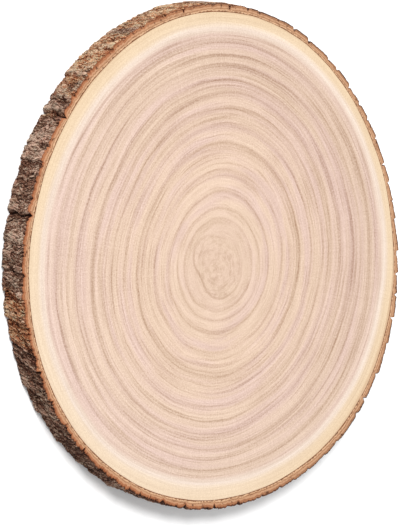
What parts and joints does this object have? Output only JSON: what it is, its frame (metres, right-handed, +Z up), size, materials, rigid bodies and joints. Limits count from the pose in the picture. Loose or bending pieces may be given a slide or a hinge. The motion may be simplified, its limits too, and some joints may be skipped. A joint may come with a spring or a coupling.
{
  "type": "wood slice",
  "caption": "Flat disc sawn straight across a trunk with its bark left on, to lie on a table as a centrepiece or serving base.",
  "frame": {"origin": "middle of the outline, on the lower sawn face that the slice lies on", "axes": "+Z up, along the trunk's grain, from the lower sawn face to the upper one; X and Y across the slice"},
  "size_m": [0.2972, 0.3056, 0.02],
  "materials": {
    "wood": "matt sawn and sanded wood, with rough bark on the rim"
  },
  "bodies": {
    "root": {"wood_slice": "wood"}
  },
  "joints": []
}
